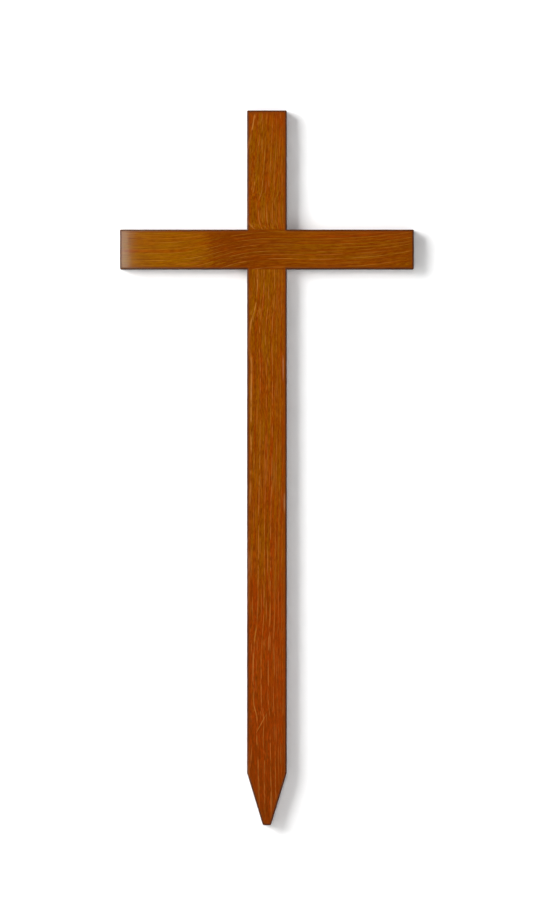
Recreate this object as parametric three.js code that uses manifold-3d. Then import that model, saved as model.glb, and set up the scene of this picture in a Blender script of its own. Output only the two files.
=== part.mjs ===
// A wooden grave cross: an upright post with a pointed foot and a crossbar, halved into each other so
// that their faces lie flush. The edges are eased once the two boards are together, so the rounding
// runs round the whole outline and never across the joint.
// Millimetres, +Z up. The front faces -Y. The origin is the middle of the point's cut-off tip.

import * as THREE from "three";
import { mergeVertices } from "three/addons/utils/BufferGeometryUtils.js";
import Module from "manifold-3d";

// Whole cross
const CROSS_HEIGHT = 900;
const CROSSBAR_LENGTH = 370;
const HEAD_HEIGHT = 150; // the part of the post above the crossbar

// Boards
const POST_WIDTH = 50;
const CROSSBAR_WIDTH = 50;
const BOARD_THICKNESS = 20;

// Pointed foot, sawn from both sides
const POINT_LENGTH = 66;
const TIP_WIDTH = 10;

// Halving joint: the post is housed from the front, the crossbar from the back
const POST_HOUSING_DEPTH = 10;
const JOINT_GAP = 0.3;

// Eased edges: the rounding of the edges, and the corner it leaves on the flat faces
const ARRIS_RADIUS = 1.5;
const ARRIS_STEPS = 4;
const FACE_CORNER_RADIUS = 0.3;
const CORNER_STEPS = 4;

// Varnished softwood, the crossbar a little more golden than the post
const POST_COLOUR = 0x8d4406;
const CROSSBAR_COLOUR = 0x8c4a05;
const VARNISH_ROUGHNESS = 0.38;

// Places that follow from the sizes above
const CROSSBAR_TOP = CROSS_HEIGHT - HEAD_HEIGHT;
const CROSSBAR_BOTTOM = CROSSBAR_TOP - CROSSBAR_WIDTH;
const CROSSBAR_MIDDLE = (CROSSBAR_TOP + CROSSBAR_BOTTOM) / 2;
const FRONT_FACE = -BOARD_THICKNESS / 2;
const BACK_FACE = BOARD_THICKNESS / 2;
const HOUSING_FLOOR = FRONT_FACE + POST_HOUSING_DEPTH;
const CORNER_RADIUS = FACE_CORNER_RADIUS + ARRIS_RADIUS;
const CUT_MARGIN = BOARD_THICKNESS; // how far a cutting block runs past the wood

const wasm = await Module();
wasm.setup();

// Turns a closed three.js geometry into a solid that can be cut.
function solidFrom(geometry) {
  const bare = geometry.clone();
  bare.deleteAttribute("normal");
  bare.deleteAttribute("uv");
  const merged = mergeVertices(bare, 1e-4);
  return new wasm.Manifold(
    new wasm.Mesh({
      numProp: 3,
      vertProperties: new Float32Array(merged.attributes.position.array),
      triVerts: new Uint32Array(merged.index.array),
    }),
  );
}

// Turns a cut solid back into a three.js geometry with flat faces.
function geometryFrom(solid) {
  const { vertProperties, triVerts } = solid.getMesh();
  const geometry = new THREE.BufferGeometry();
  geometry.setAttribute("position", new THREE.BufferAttribute(vertProperties, 3));
  geometry.setIndex(new THREE.BufferAttribute(triVerts, 1));
  const faceted = geometry.toNonIndexed();
  faceted.computeVertexNormals();
  return faceted;
}

// A block between two corners, each given as [x, y, z].
function block(low, high) {
  const [width, depth, height] = high.map((value, axis) => value - low[axis]);
  const geometry = new THREE.BoxGeometry(width, depth, height);
  geometry.translate(
    (low[0] + high[0]) / 2,
    (low[1] + high[1]) / 2,
    (low[2] + high[2]) / 2,
  );
  return solidFrom(geometry);
}

// The corners of the cross seen from the front, anticlockwise from the right of the tip.
function outlineCorners() {
  const right = [
    [TIP_WIDTH / 2, 0],
    [POST_WIDTH / 2, POINT_LENGTH],
    [POST_WIDTH / 2, CROSSBAR_BOTTOM],
    [CROSSBAR_LENGTH / 2, CROSSBAR_BOTTOM],
    [CROSSBAR_LENGTH / 2, CROSSBAR_TOP],
    [POST_WIDTH / 2, CROSSBAR_TOP],
    [POST_WIDTH / 2, CROSS_HEIGHT],
  ];
  const left = right.map(([x, z]) => [-x, z]).reverse();
  return [...right, ...left].map(([x, z]) => new THREE.Vector2(x, z));
}

// An outline whose outer corners are rounded and whose inner corners stay sharp.
function softenedOutline(corners) {
  const shape = new THREE.Shape();
  corners.forEach((corner, i) => {
    const before = corners[(i + corners.length - 1) % corners.length];
    const after = corners[(i + 1) % corners.length];
    const arriving = corner.clone().sub(before).normalize();
    const leaving = after.clone().sub(corner).normalize();
    const turn = Math.atan2(arriving.cross(leaving), arriving.dot(leaving));
    if (turn < 0) {
      shape.lineTo(corner.x, corner.y);
      return;
    }
    const setback = CORNER_RADIUS * Math.tan(turn / 2);
    const start = corner.clone().addScaledVector(arriving, -setback);
    const inward = new THREE.Vector2(-arriving.y, arriving.x);
    const centre = start.clone().addScaledVector(inward, CORNER_RADIUS);
    const startAngle = Math.atan2(start.y - centre.y, start.x - centre.x);
    if (i === 0) shape.moveTo(start.x, start.y);
    else shape.lineTo(start.x, start.y);
    shape.absarc(centre.x, centre.y, CORNER_RADIUS, startAngle, startAngle + turn);
  });
  shape.closePath();
  return shape;
}

// The whole cross as one piece, with every outside edge rounded over.
function easedCross() {
  const depth = BOARD_THICKNESS - 2 * ARRIS_RADIUS;
  const geometry = new THREE.ExtrudeGeometry(softenedOutline(outlineCorners()), {
    depth,
    curveSegments: CORNER_STEPS,
    bevelThickness: ARRIS_RADIUS,
    bevelSize: ARRIS_RADIUS,
    bevelOffset: -ARRIS_RADIUS,
    bevelSegments: ARRIS_STEPS,
  });
  geometry.rotateX(Math.PI / 2);
  geometry.translate(0, depth / 2, 0);
  return solidFrom(geometry);
}

// The post's share of the cross, with a housing in its front that takes the crossbar.
function postSolid(cross) {
  const edge = POST_WIDTH / 2;
  const column = block(
    [-edge, FRONT_FACE - CUT_MARGIN, -CUT_MARGIN],
    [edge, BACK_FACE + CUT_MARGIN, CROSS_HEIGHT + CUT_MARGIN],
  );
  const housing = block(
    [-edge - CUT_MARGIN, FRONT_FACE - CUT_MARGIN, CROSSBAR_BOTTOM - JOINT_GAP],
    [edge + CUT_MARGIN, HOUSING_FLOOR + JOINT_GAP / 2, CROSSBAR_TOP + JOINT_GAP],
  );
  return cross.intersect(column).subtract(housing);
}

// The crossbar's share, with a housing in its back that takes the post.
function crossbarSolid(cross) {
  const end = CROSSBAR_LENGTH / 2 + CUT_MARGIN;
  const side = POST_WIDTH / 2 + JOINT_GAP;
  const band = block(
    [-end, FRONT_FACE - CUT_MARGIN, CROSSBAR_BOTTOM],
    [end, BACK_FACE + CUT_MARGIN, CROSSBAR_TOP],
  );
  const housing = block(
    [-side, HOUSING_FLOOR - JOINT_GAP / 2, CROSSBAR_BOTTOM - CUT_MARGIN],
    [side, BACK_FACE + CUT_MARGIN, CROSSBAR_TOP + CUT_MARGIN],
  );
  return cross.intersect(band).subtract(housing);
}

function varnished(colour) {
  return new THREE.MeshStandardMaterial({
    color: colour,
    roughness: VARNISH_ROUGHNESS,
    metalness: 0,
  });
}

const cross = easedCross();

// The post stands on its tip, at the group's origin.
const post = new THREE.Mesh(geometryFrom(postSolid(cross)), varnished(POST_COLOUR));
post.name = "post";

// The crossbar is modelled about its own middle and lifted to its height on the post.
const crossbarGeometry = geometryFrom(crossbarSolid(cross)).translate(0, 0, -CROSSBAR_MIDDLE);
const crossbar = new THREE.Mesh(crossbarGeometry, varnished(CROSSBAR_COLOUR));
crossbar.name = "crossbar";
crossbar.position.z = CROSSBAR_MIDDLE;

const graveCross = new THREE.Group();
graveCross.add(post, crossbar);

export default graveCross;
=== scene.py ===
"""A slim wooden grave cross of two stained and varnished boards, halved together flush.

The post and the crossbar are modelled as finely meshed boards with eased edges, a sawn point, a
tight halving joint and small knocks. Their wood is a solid one: growth rings round a pith that
wanders along the board, so that faces, edges and end grain all belong to the same tree.
Lengths are in metres, and inside the materials in millimetres. +Z is up and the front faces -Y.
"""

import logging
import math
import random
from abc import ABC, abstractmethod
from dataclasses import dataclass, field
from enum import Enum
from typing import ClassVar

import bmesh
import bpy
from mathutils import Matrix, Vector, noise

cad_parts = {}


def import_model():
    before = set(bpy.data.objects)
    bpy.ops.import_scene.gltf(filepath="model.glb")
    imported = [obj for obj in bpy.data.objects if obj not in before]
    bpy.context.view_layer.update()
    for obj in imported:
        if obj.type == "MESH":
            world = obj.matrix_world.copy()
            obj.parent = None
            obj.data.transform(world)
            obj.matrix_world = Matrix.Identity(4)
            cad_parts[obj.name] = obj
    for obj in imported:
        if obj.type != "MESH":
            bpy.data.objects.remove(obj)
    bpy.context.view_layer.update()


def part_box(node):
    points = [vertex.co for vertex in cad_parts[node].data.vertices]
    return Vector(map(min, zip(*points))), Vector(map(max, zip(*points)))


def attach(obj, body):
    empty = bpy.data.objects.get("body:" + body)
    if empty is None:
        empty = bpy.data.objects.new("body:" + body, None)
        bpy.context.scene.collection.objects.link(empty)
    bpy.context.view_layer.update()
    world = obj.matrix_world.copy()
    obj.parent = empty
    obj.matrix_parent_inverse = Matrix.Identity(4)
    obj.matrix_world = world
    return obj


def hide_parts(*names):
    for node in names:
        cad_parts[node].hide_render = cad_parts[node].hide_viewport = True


LOG = logging.getLogger("grave_cross")

MM = 0.001
PER_METRE = 1000.0
BAKE_MAP = "OFBake"
EDGE_ATTRIBUTE = "edge_distance"

# The mesh: how close points are merged, how far beside a slice its two sides are looked at, the
# angle from which an edge stays sharp, how strongly large faces lead the shading, how squarely a
# face looks along the board to be an end, how far apart the two faces read their unevenness, what
# a shoulder adds to the way over the surface, and how many reaches away a knock is felt
MERGE_DISTANCE = 0.002 * MM
NUDGE = 1e-9
SHARP_ANGLE = 50
FLAT_WEIGHT = 100
END_FACING = 0.8
FACE_SHIFT = 7.3
SHOULDER_SHARE = 0.3
KNOCK_REACHES = 4

Socket = bpy.types.NodeSocket
Value = "Term | Socket | float"


class Housing(Enum):
    """The side of a board that the halving joint is cut into."""

    FRONT = "front"
    BACK = "back"


class BoardAxis(Enum):
    """The way a board's length runs in the cross."""

    UPRIGHT = "upright"
    LEVEL = "level"


def linear(chip: str) -> tuple[float, float, float, float]:
    """Turns a colour chip into the linear colour that a shader socket takes.

    Args:
        chip: The colour as six hexadecimal digits after a hash.

    Returns:
        Red, green, blue and an alpha of one.
    """
    shares = [int(chip[i : i + 2], 16) / 255 for i in (1, 3, 5)]
    red, green, blue = (
        s / 12.92 if s <= 0.04045 else ((s + 0.055) / 1.055) ** 2.4 for s in shares
    )
    return red, green, blue, 1.0


def smooth_step(value: float, low: float, high: float) -> float:
    """Eases from 0 at low to 1 at high."""
    share = min(max((value - low) / (high - low), 0.0), 1.0)
    return share * share * (3 - 2 * share)


def spread(start: float, end: float, steps: int) -> list[float]:
    """Gives even steps from start towards end, without the end itself."""
    return [start + (end - start) * i / steps for i in range(steps)]


@dataclass(frozen=True)
class CrossOutline:
    """The cross seen from the front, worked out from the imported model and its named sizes."""

    height: float
    half_post: float
    half_length: float
    bar_bottom: float
    bar_top: float
    half_thickness: float
    point_length: float = 66 * MM
    half_tip: float = 5 * MM
    arris: float = 1.5 * MM

    def corners(self) -> list[Vector]:
        """Gives the outline's corners, anticlockwise from the right of the tip.

        Returns:
            The corners as (x, z) pairs.
        """
        right = [
            (self.half_tip, 0.0),
            (self.half_post, self.point_length),
            (self.half_post, self.bar_bottom),
            (self.half_length, self.bar_bottom),
            (self.half_length, self.bar_top),
            (self.half_post, self.bar_top),
            (self.half_post, self.height),
        ]
        left = [(-x, z) for x, z in reversed(right)]
        return [Vector(corner) for corner in right + left]

    def half_width_at(self, height: float) -> float:
        """Gives half the post's width at a height, with the point's taper."""
        share = min(max(height / self.point_length, 0.0), 1.0)
        return self.half_tip + (self.half_post - self.half_tip) * share

    def edge_distance(self, place: Vector) -> float:
        """Measures how far a place on the surface is from the nearest eased edge.

        Args:
            place: A point on the boards' surface.

        Returns:
            The distance along the surface.
        """
        flat = Vector((place.x, place.z))
        corners = self.corners()
        nearest = math.inf
        for start, end in zip(corners, corners[1:] + corners[:1]):
            run = end - start
            share = min(max((flat - start).dot(run) / run.length_squared, 0.0), 1.0)
            nearest = min(nearest, (flat - start - run * share).length)
        return max(nearest, self.half_thickness - abs(place.y))


@dataclass(frozen=True)
class Section:
    """A slice square to a board's length. Its near face is the one that may be housed."""

    along: float
    half_width: float
    near: float
    far: float
    near_arris: float
    far_arris: float
    housed: bool = False


@dataclass(frozen=True)
class SectionGrid:
    """How finely a slice is divided."""

    face_steps: int = 72
    arris_steps: int = 6
    near_side_steps: int = 6
    far_side_steps: int = 7
    squeeze: float = 5 * MM

    def side_depths(self, section: Section, floor: float) -> list[float]:
        """Gives the depths of the points down a side, from the near arris to the far one.

        Args:
            section: The slice.
            floor: The depth of the housing's floor, where a row of points always lies.

        Returns:
            The depths, near to far.
        """
        start = section.near + section.near_arris
        end = section.far - section.far_arris
        near_part = spread(start, floor, self.near_side_steps)
        return near_part + spread(floor, end, self.far_side_steps) + [end]

    def face_places(self, half: float) -> list[float]:
        """Gives the places of the points across a face, left to right."""
        return [half * (2 * i / self.face_steps - 1) for i in range(self.face_steps + 1)]

    def arris_points(
        self, half: float, level: float, radius: float, far: bool
    ) -> list[tuple[float, float]]:
        """Gives the points between a face and a side on the right, without its two ends.

        Args:
            half: Half the slice's width.
            level: The face's depth.
            radius: The arris's radius.
            far: Whether the arris is on the far face.

        Returns:
            The points as (across, depth), in the order near to far.
        """
        points = []
        for i in range(1, self.arris_steps):
            angle = math.pi / 2 * i / self.arris_steps
            reach, drop = math.sin(angle), math.cos(angle)
            if far:
                reach, drop = drop, reach
            across = half - radius * (1 - reach)
            depth = radius * (1 - drop)
            points.append((across, level - depth if far else level + depth))
        return points

    def right_half(self, section: Section, floor: float) -> list[tuple[float, float]]:
        """Gives the points from the near face's right end to the far face's right end.

        Args:
            section: The slice.
            floor: The depth of the housing's floor.

        Returns:
            The points as (across, depth), both faces' own points left out.
        """
        half = section.half_width
        depths = self.side_depths(section, floor)
        far_arris = self.arris_points(half, section.far, section.far_arris, far=True)
        if section.housed:
            count = self.arris_steps - 1 + self.near_side_steps
            ends = spread(half - self.squeeze, half, count + 1)
            on_floor = [(across, floor) for across in ends[1:]]
            down = [(half, depth) for depth in depths[self.near_side_steps :]]
            return on_floor + down + far_arris
        near_arris = self.arris_points(half, section.near, section.near_arris, far=False)
        return near_arris + [(half, depth) for depth in depths] + far_arris

    def ring(self, section: Section, floor: float) -> list[tuple[float, float]]:
        """Gives the slice's whole outline as a closed loop.

        Args:
            section: The slice.
            floor: The depth of the housing's floor.

        Returns:
            The loop's points as (across, depth), starting at the near face's left end.
        """
        inset = self.squeeze if section.housed else section.near_arris
        near_half = section.half_width - inset
        far_half = section.half_width - section.far_arris
        near_face = [(x, section.near) for x in self.face_places(near_half)]
        far_face = [(x, section.far) for x in reversed(self.face_places(far_half))]
        right = self.right_half(section, floor)
        left = [(-x, depth) for x, depth in reversed(right)]
        return near_face + right + far_face + left


@dataclass(frozen=True)
class MapLayout:
    """Where a board's faces lie on its bake map."""

    strips: int
    strip_top: float = 0.945
    cap_bottom: float = 0.96
    cap_top: float = 0.995
    cap_width: float = 0.4
    cap_step: float = 0.5
    gap: float = 0.006

    def on_strip(self, around: float, along: float, strip: int) -> tuple[float, float]:
        """Places a corner of the wrapped surface.

        Args:
            around: The share of the way round the slice.
            along: The share of the way along the strip.
            strip: The strip's number.

        Returns:
            The place on the map.
        """
        width = 1 / self.strips
        u = strip * width + self.gap + around * (width - 2 * self.gap)
        v = self.gap + along * (self.strip_top - 2 * self.gap)
        return u, v

    def on_cap(self, across: float, depth: float, cap: int) -> tuple[float, float]:
        """Places a corner of an end face, from its shares across and through the board."""
        u = self.gap + cap * self.cap_step + across * self.cap_width
        v = self.cap_bottom + depth * (self.cap_top - self.cap_bottom)
        return u, v


@dataclass(frozen=True)
class Knock:
    """A small knock on an eased edge."""

    place: Vector
    reach: float
    depth: float

    def is_near(self, place: Vector) -> bool:
        """Tells whether the knock can be felt at a place."""
        away = place - self.place
        return max(abs(away.x), abs(away.z)) < KNOCK_REACHES * self.reach

    def depth_at(self, place: Vector) -> float:
        """Gives how deep the knock is at a place."""
        away = (place - self.place).length / self.reach
        return self.depth * math.exp(-away * away)


@dataclass
class Board(ABC):
    """A sawn and sanded board, one half of the halving joint cut into it."""

    axis: ClassVar[BoardAxis]
    housing: ClassVar[Housing]
    name: str
    node: str
    slot: str
    outline: CrossOutline
    layout: MapLayout
    seed: int
    station_step: float = 2.5 * MM
    joint_gap: float = 0.06 * MM
    joint_arris: float = 0.12 * MM
    arris_unevenness: float = 0.16
    sanding_depth: float = 0.012 * MM
    saw_mark_depth: float = 0.03 * MM
    saw_mark_step: float = 2.1 * MM
    saw_lean: float = 0.35
    arris_waves: float = 22.0
    sanding_waves: float = 26.0
    knock_count: int = 9
    knock_margin: float = 20 * MM
    knock_depths: tuple[float, float] = (0.12 * MM, 0.34 * MM)
    knock_reaches: tuple[float, float] = (0.9 * MM, 2.2 * MM)
    grid: SectionGrid = field(default_factory=SectionGrid)
    mesh_data: bmesh.types.BMesh = field(default_factory=bmesh.new, repr=False)

    @property
    def floor(self) -> float:
        """The depth of the housing's floor, measured from the board's middle."""
        return self.joint_gap / 2

    @abstractmethod
    def spans(self) -> tuple[float, float]:
        """Gives the board's two ends along its length."""

    @abstractmethod
    def joint_spans(self) -> tuple[float, float]:
        """Gives where the other board's edges cross this one."""

    @abstractmethod
    def half_width_at(self, along: float) -> float:
        """Gives half the board's width at a place along it."""

    def place(self, along: float, across: float, depth: float) -> Vector:
        """Puts a point of the board into the cross.

        Args:
            along: The place along the board.
            across: The place across it, from its middle.
            depth: The place through it, from its middle, where minus is the housed side.

        Returns:
            The point in the cross's frame.
        """
        through = depth if self.housing is Housing.FRONT else -depth
        if self.axis is BoardAxis.UPRIGHT:
            return Vector((across, through, along))
        middle = (self.outline.bar_bottom + self.outline.bar_top) / 2
        return Vector((along, through, middle + across))

    def arris_at(self, along: float, face: int) -> float:
        """Gives the never quite even radius of the arris on the near face, 0, or the far one, 1."""
        wander = noise.noise(Vector((along * self.arris_waves, face * FACE_SHIFT, self.seed)))
        return self.outline.arris * (1 - self.arris_unevenness * (0.5 + 0.5 * wander))

    def station_places(self) -> list[float]:
        """Gives the places of the slices between the rounded ends.

        Returns:
            The places in order, with every change of shape among them.
        """
        low, high = self.spans()
        round_end = self.outline.arris
        joint_low, joint_high = self.joint_spans()
        edges = [joint_low - self.joint_gap, joint_high + self.joint_gap]
        fixed = [low + round_end, *edges, joint_low, joint_high, high - round_end]
        fixed += [joint_low + round_end, joint_high - round_end]
        fixed += self.extra_places()
        fixed = sorted(set(fixed))
        places: list[float] = []
        for start, end in zip(fixed, fixed[1:]):
            steps = max(1, math.ceil((end - start) / self.step_at(start)))
            places += spread(start, end, steps)
        return places + [fixed[-1]]

    def extra_places(self) -> list[float]:
        """Gives further places where the board's shape changes."""
        return []

    def step_at(self, along: float) -> float:
        """Gives the distance between slices at a place."""
        return self.station_step

    def joint_share(self, along: float) -> float:
        """Gives 0 outside the crossing and 1 where its corners are square, an arris further in."""
        low, high = self.joint_spans()
        return smooth_step(min(along - low, high - along), 0.0, self.outline.arris)

    def plain_section(self, along: float, housed: bool) -> Section:
        """Makes the slice at a place between the rounded ends.

        Args:
            along: The place along the board.
            housed: Whether the housing is open there.

        Returns:
            The slice.
        """
        square = self.joint_share(along)
        far_arris = self.arris_at(along, 1) * (1 - square) + self.joint_arris * square
        half = self.outline.half_thickness
        return Section(
            along=along,
            half_width=self.half_width_at(along),
            near=self.floor if housed else -half,
            far=half,
            near_arris=self.arris_at(along, 0),
            far_arris=far_arris,
            housed=housed,
        )

    def end_sections(self, high_end: bool) -> list[Section]:
        """Makes the slices of a rounded end, from the cap inwards.

        Args:
            high_end: Whether it is the end with the larger place along the board.

        Returns:
            The slices, without the one where the rounding stops.
        """
        low, high = self.spans()
        radius = self.outline.arris
        sections = []
        for i in range(self.grid.arris_steps):
            angle = math.pi / 2 * i / self.grid.arris_steps
            inset = radius * (1 - math.sin(angle))
            back = radius * (1 - math.cos(angle))
            at = high - back if high_end else low + back
            level = self.outline.half_thickness - inset
            arrises = [min(radius - inset, self.arris_at(at, face)) for face in (0, 1)]
            sections.append(Section(at, self.half_width_at(at) - inset, -level, level, *arrises))
        return sections

    def sections(self) -> list[Section]:
        """Makes every slice of the board, from its low end to its high one.

        Returns:
            The slices, two of them at each shoulder of the housing.
        """
        joint_low, joint_high = self.joint_spans()
        shoulders = (joint_low - self.joint_gap, joint_high + self.joint_gap)
        slices = self.end_sections(high_end=False)
        for along in self.station_places():
            sides = [shoulders[0] < along + nudge < shoulders[1] for nudge in (-NUDGE, NUDGE)]
            slices += [self.plain_section(along, housed) for housed in dict.fromkeys(sides)]
        return slices + list(reversed(self.end_sections(high_end=True)))

    def build_mesh(self) -> bpy.types.Mesh:
        """Wraps the slices in faces, closes the ends and works the surface.

        Returns:
            The finished mesh with its bake map and edge distances.
        """
        made = self.mesh_data
        made.loops.layers.uv.new(BAKE_MAP)
        slices = self.sections()
        self.wrap(slices)
        self.close_end(slices[0], cap=0)
        self.close_end(slices[-1], cap=1)
        bmesh.ops.remove_doubles(made, verts=made.verts, dist=MERGE_DISTANCE)
        bmesh.ops.recalc_face_normals(made, faces=made.faces)
        made.normal_update()
        self.work_surface()
        for face in made.faces:
            face.smooth = True
        mesh = bpy.data.meshes.new(self.name)
        made.to_mesh(mesh)
        made.free()
        mesh.set_sharp_from_angle(angle=math.radians(SHARP_ANGLE))
        self.store_edge_distance(mesh)
        return mesh

    def add_vertices(self, along: float, places: list[tuple[float, float]]) -> list:
        """Adds points of one slice, each given as (across, depth), to the mesh."""
        add = self.mesh_data.verts.new
        return [add(self.place(along, across, depth)) for across, depth in places]

    def add_face(self, vertices: list, places: list[tuple[float, float]]) -> None:
        """Adds a face and lays its corners on the bake map.

        Args:
            vertices: Its corners.
            places: Their places on the map.
        """
        bake_map = self.mesh_data.loops.layers.uv[BAKE_MAP]
        for loop, place in zip(self.mesh_data.faces.new(vertices).loops, places):
            loop[bake_map].uv = place

    def wrap(self, slices: list[Section]) -> None:
        """Joins each slice to the next with four-sided faces.

        Args:
            slices: The slices.
        """
        rings = [self.add_vertices(s.along, self.grid.ring(s, self.floor)) for s in slices]
        around = self.shares_around(slices[len(slices) // 3])
        travel = self.travel(slices)
        strip_length = travel[-1] / self.layout.strips
        for i, (ring, following) in enumerate(zip(rings, rings[1:])):
            middle = (travel[i] + travel[i + 1]) / 2
            strip = min(int(middle / strip_length), self.layout.strips - 1)
            start, end = (
                min(max(at / strip_length - strip, 0.0), 1.0) for at in travel[i : i + 2]
            )
            for j in range(len(ring)):
                k = (j + 1) % len(ring)
                corners = [ring[j], ring[k], following[k], following[j]]
                left, right = around[j], around[j + 1]
                on_strip = ((left, start), (right, start), (right, end), (left, end))
                self.add_face(corners, [self.layout.on_strip(*at, strip) for at in on_strip])

    def shares_around(self, section: Section) -> list[float]:
        """Measures how far round a slice each of its points is.

        Args:
            section: A slice of the board's plain part.

        Returns:
            A share for each point, and 1 for the way back to the first.
        """
        points = [Vector(p) for p in self.grid.ring(section, self.floor)]
        shares = [0.0]
        for start, end in zip(points, points[1:] + points[:1]):
            shares.append(shares[-1] + (end - start).length)
        return [share / shares[-1] for share in shares]

    def travel(self, slices: list[Section]) -> list[float]:
        """Measures the way over the surface to each slice.

        Args:
            slices: The slices.

        Returns:
            The distance to each, with room for the shoulders and the rounded ends.
        """
        distances = [0.0]
        for before, after in zip(slices, slices[1:]):
            step = abs(after.along - before.along)
            step += SHOULDER_SHARE * abs(after.near - before.near)
            distances.append(distances[-1] + step)
        return distances

    def close_end(self, section: Section, cap: int) -> None:
        """Covers one end of the board with a grid of faces.

        Args:
            section: The outermost slice.
            cap: The number of the end's place on the bake map.
        """
        places = self.grid.face_places(section.half_width - section.near_arris)
        depths = self.grid.side_depths(section, self.floor)
        rows = [self.add_vertices(section.along, [(x, d) for x in places]) for d in depths]
        across = [i / (len(places) - 1) for i in range(len(places))]
        through = [(d - depths[0]) / (depths[-1] - depths[0]) for d in depths]
        for i in range(len(depths) - 1):
            for j in range(len(places) - 1):
                corners = ((i, j), (i, j + 1), (i + 1, j + 1), (i + 1, j))
                on_cap = [self.layout.on_cap(across[b], through[a], cap) for a, b in corners]
                self.add_face([rows[a][b] for a, b in corners], on_cap)

    def knocks(self) -> list[Knock]:
        """Scatters a few knocks along the eased edges.

        Returns:
            The knocks, the same ones each time.
        """
        draw = random.Random(self.seed)
        low, high = self.spans()
        made = []
        for _ in range(self.knock_count):
            along = draw.uniform(low + self.knock_margin, high - self.knock_margin)
            side = draw.choice((-1, 1))
            face = draw.choice((-1, 1))
            depth = draw.uniform(*self.knock_depths)
            reach = draw.uniform(*self.knock_reaches)
            across = side * self.half_width_at(along)
            at = self.place(along, across, face * self.outline.half_thickness)
            made.append(Knock(at, reach, depth))
        return made

    def work_surface(self) -> None:
        """Takes a little wood away, as sanding, sawing and knocks do. Nothing is added."""
        knocks = self.knocks()
        moves = []
        for vertex in self.mesh_data.verts:
            place = vertex.co
            wave = noise.noise(place * self.sanding_waves + Vector((self.seed, 0, 0)))
            depth = self.sanding_depth * (0.5 + 0.5 * wave)
            depth += self.saw_marks_at(place, vertex.normal)
            depth += sum(knock.depth_at(place) for knock in knocks if knock.is_near(place))
            moves.append(vertex.normal * -depth)
        for vertex, move in zip(self.mesh_data.verts, moves):
            vertex.co += move

    def saw_marks_at(self, place: Vector, normal: Vector) -> float:
        """Gives the depth of the saw marks left on the end grain.

        Args:
            place: A point on the surface.
            normal: The way the surface faces there.

        Returns:
            The depth of the marks.
        """
        facing = abs(normal.z if self.axis is BoardAxis.UPRIGHT else normal.x)
        if facing < END_FACING:
            return 0.0
        across = place.x if self.axis is BoardAxis.UPRIGHT else place.z
        marks = self.saw_wave(across + self.saw_lean * place.y)
        return marks * smooth_step(facing, END_FACING, 1.0)

    def saw_wave(self, place: float) -> float:
        """Gives the depth of even saw marks at a place across them."""
        turn = place / self.saw_mark_step * 2 * math.pi
        return self.saw_mark_depth * (0.5 + 0.5 * math.sin(turn))

    def store_edge_distance(self, mesh: bpy.types.Mesh) -> None:
        """Writes each vertex's distance from the eased edges, in millimetres, into the mesh."""
        values = [self.outline.edge_distance(v.co) * PER_METRE for v in mesh.vertices]
        mesh.attributes.new(EDGE_ATTRIBUTE, "FLOAT", "POINT").data.foreach_set("value", values)

    def build(self, material: bpy.types.Material) -> bpy.types.Object:
        """Makes the board and puts it in its solid's place.

        Args:
            material: The board's dressed material.

        Returns:
            The finished object.
        """
        mesh = self.build_mesh()
        mesh.materials.append(material)
        board = bpy.data.objects.new(self.name, mesh)
        bpy.context.scene.collection.objects.link(board)
        flats = board.modifiers.new("flat faces", "WEIGHTED_NORMAL")
        flats.keep_sharp = True
        flats.weight = FLAT_WEIGHT
        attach(board, "root")
        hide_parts(self.node)
        LOG.info("%s: %d faces", self.name, len(mesh.polygons))
        return board


@dataclass
class Post(Board):
    """The upright board with its pointed foot, housed from the front."""

    axis: ClassVar[BoardAxis] = BoardAxis.UPRIGHT
    housing: ClassVar[Housing] = Housing.FRONT
    point_step: float = 0.8 * MM
    point_saw_lean: float = 0.2

    def spans(self) -> tuple[float, float]:
        """Gives the tip's and the top's height."""
        return 0.0, self.outline.height

    def joint_spans(self) -> tuple[float, float]:
        """Gives the heights of the crossbar's edges."""
        return self.outline.bar_bottom, self.outline.bar_top

    def half_width_at(self, along: float) -> float:
        """Gives half the post's width at a height."""
        return self.outline.half_width_at(along)

    def extra_places(self) -> list[float]:
        """Gives the height where the point starts."""
        return [self.outline.point_length]

    def step_at(self, along: float) -> float:
        """Gives finer slices on the point, for its saw marks."""
        if along < self.outline.point_length - MM:
            return self.point_step
        return self.station_step

    def saw_marks_at(self, place: Vector, normal: Vector) -> float:
        """Adds the marks that the saw left on both cheeks of the point.

        Args:
            place: A point on the surface.
            normal: The way the surface faces there.

        Returns:
            The depth of the marks.
        """
        marks = super().saw_marks_at(place, normal)
        on_point = place.z < self.outline.point_length - MM
        if not on_point or abs(normal.x) < END_FACING:
            return marks
        return marks + self.saw_wave(place.z + self.point_saw_lean * place.y)


@dataclass
class Crossbar(Board):
    """The level board, housed from the back."""

    axis: ClassVar[BoardAxis] = BoardAxis.LEVEL
    housing: ClassVar[Housing] = Housing.BACK

    def spans(self) -> tuple[float, float]:
        """Gives the places of the left and the right end."""
        return -self.outline.half_length, self.outline.half_length

    def joint_spans(self) -> tuple[float, float]:
        """Gives the places of the post's edges."""
        return -self.outline.half_post, self.outline.half_post

    def half_width_at(self, along: float) -> float:
        """Gives half the crossbar's width, which is the same all along."""
        return (self.outline.bar_top - self.outline.bar_bottom) / 2


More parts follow.
